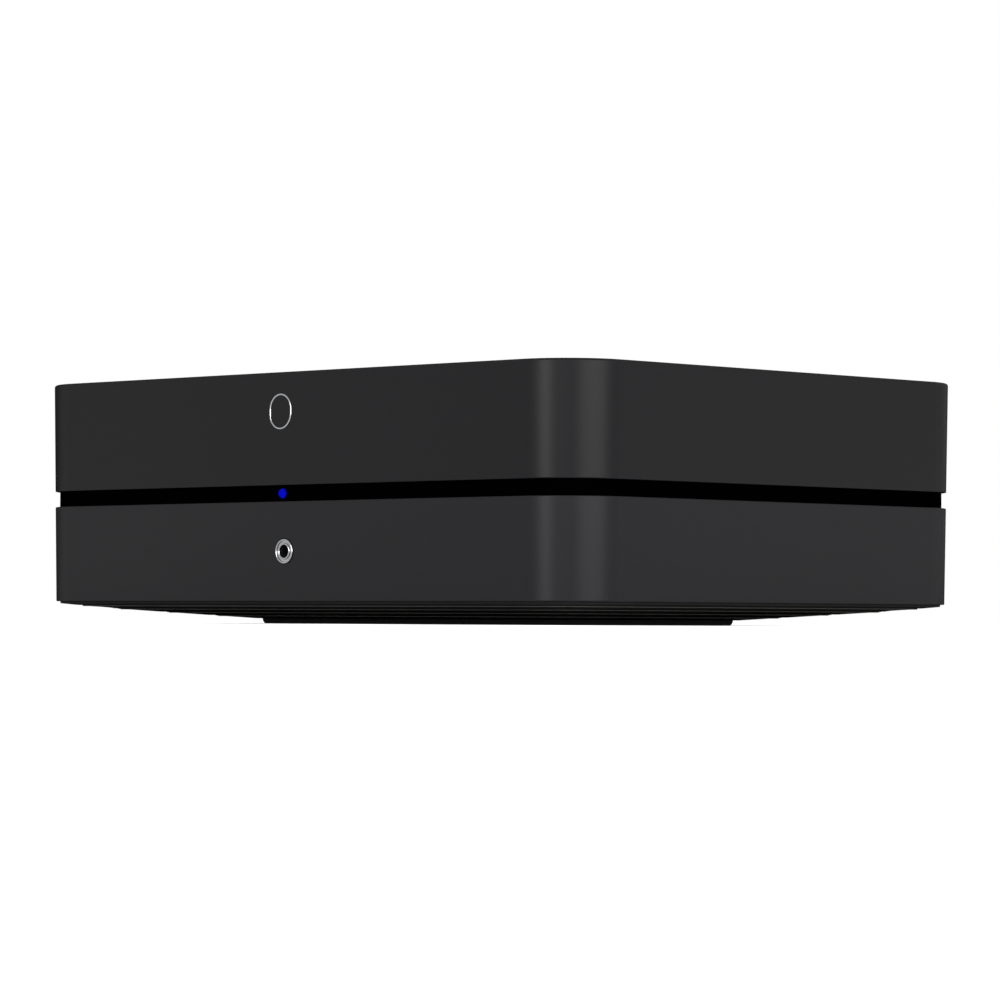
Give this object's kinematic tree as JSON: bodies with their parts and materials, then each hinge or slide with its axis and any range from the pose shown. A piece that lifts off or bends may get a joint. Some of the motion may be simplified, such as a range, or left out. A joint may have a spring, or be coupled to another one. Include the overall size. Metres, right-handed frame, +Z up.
{
  "type": "network music streamer",
  "caption": "Low rounded-corner box for streaming music: satin shells on a recessed black band with a lamp, a front headphone socket and rear audio, data and mains sockets.",
  "frame": {"origin": "middle of the foot's underside, which rests on the shelf", "axes": "+Z up, the front faces -Y, +X to the right seen from the front"},
  "size_m": [0.22, 0.1765, 0.07],
  "materials": {
    "case_satin": "satin charcoal",
    "band_gloss": "gloss black",
    "base_matte": "matt charcoal",
    "foot_rubber": "matt",
    "bright_chrome": "polished",
    "lamp_blue": "lit",
    "screw_steel": "zinc plated",
    "socket_black": "moulded",
    "moving_black": "semi-gloss",
    "panel_black": "fine texture",
    "board_green": "solder resist",
    "board_tan": "bare laminate",
    "ribbon_cream": "matt",
    "pin_brass": "gilt",
    "shield_steel": "tinned",
    "tongue_white": "moulded",
    "insert_red": "moulded",
    "insert_violet": "moulded",
    "chip_black": "epoxy",
    "sink_aluminium": "anodised",
    "aerial_copper": "lacquered",
    "capacitor_blue": "sleeve",
    "filter_ochre": "moulded",
    "fuse_glass": "clear",
    "core_ferrite": "ground",
    "wire_red": "insulation"
  },
  "bodies": {
    "case": {"upper_shell": "case_satin", "lower_shell": "case_satin", "mid_band": "band_gloss", "touch_panel": "band_gloss", "base_pan": "base_matte", "foot_pad": "foot_rubber", "front_badge": "bright_chrome", "jack_ring": "bright_chrome", "led_lens": "lamp_blue", "case_screws": "screw_steel", "board_screws": "screw_steel", "panel_screws": "screw_steel", "headphone_jack": "socket_black", "mains_inlet": "socket_black", "switch_housing": "socket_black", "optical_out_socket": "socket_black", "optical_in_socket": "socket_black", "rca_housing": "socket_black", "rear_panel": "panel_black", "audio_panel": "panel_black", "led_board": "board_green", "headphone_board": "board_green", "touch_board": "board_green", "main_board": "board_green", "psu_board": "board_tan", "touch_ribbon": "ribbon_cream", "ribbon_sockets": "ribbon_cream", "mains_pins": "pin_brass", "rca_barrels": "pin_brass", "ethernet_jack": "shield_steel", "usb_shell": "shield_steel", "setup_switch": "shield_steel", "wifi_module": "shield_steel", "usb_tongue": "tongue_white", "line_out_left_insert": "tongue_white", "line_out_right_insert": "insert_red", "sub_out_insert": "insert_violet", "processor": "chip_black", "memory_chips": "chip_black", "board_inductors": "chip_black", "power_transistors": "chip_black", "antenna_leads": "chip_black", "processor_heatsink": "sink_aluminium", "psu_heatsink": "sink_aluminium", "antenna_side": "aerial_copper", "antenna_rear": "aerial_copper", "transformer_winding": "aerial_copper", "audio_capacitors": "capacitor_blue", "bulk_capacitor": "capacitor_blue", "output_capacitors": "capacitor_blue", "mains_filter": "filter_ochre", "mains_fuse": "fuse_glass", "transformer_core": "core_ferrite", "supply_wires": "wire_red"},
    "rocker": {"power_rocker": "moving_black"},
    "button": {"setup_button": "moving_black"},
    "out_shutter": {"optical_out_shutter": "moving_black"},
    "in_shutter": {"optical_in_shutter": "moving_black"}
  },
  "joints": [
    {"name": "power_switch", "type": "hinge", "parent": "case", "child": "rocker", "pos_m": [0.054, 0.08229, 0.02065], "axis": [1, 0, 0], "range_deg": [0, 18]},
    {"name": "setup_press", "type": "slide", "parent": "case", "child": "button", "axis": [0, -1, 0], "range_m": [0, 0.0008], "stiffness_N_per_m": 400},
    {"name": "optical_out_flap", "type": "hinge", "parent": "case", "child": "out_shutter", "pos_m": [-0.014, 0.08299, 0.02195], "axis": [-1, 0, 0], "range_deg": [0, 80], "stiffness_Nm_per_rad": 0.002},
    {"name": "optical_in_flap", "type": "hinge", "parent": "case", "child": "in_shutter", "pos_m": [-0.026, 0.08299, 0.02195], "axis": [-1, 0, 0], "range_deg": [0, 80], "stiffness_Nm_per_rad": 0.002}
  ]
}
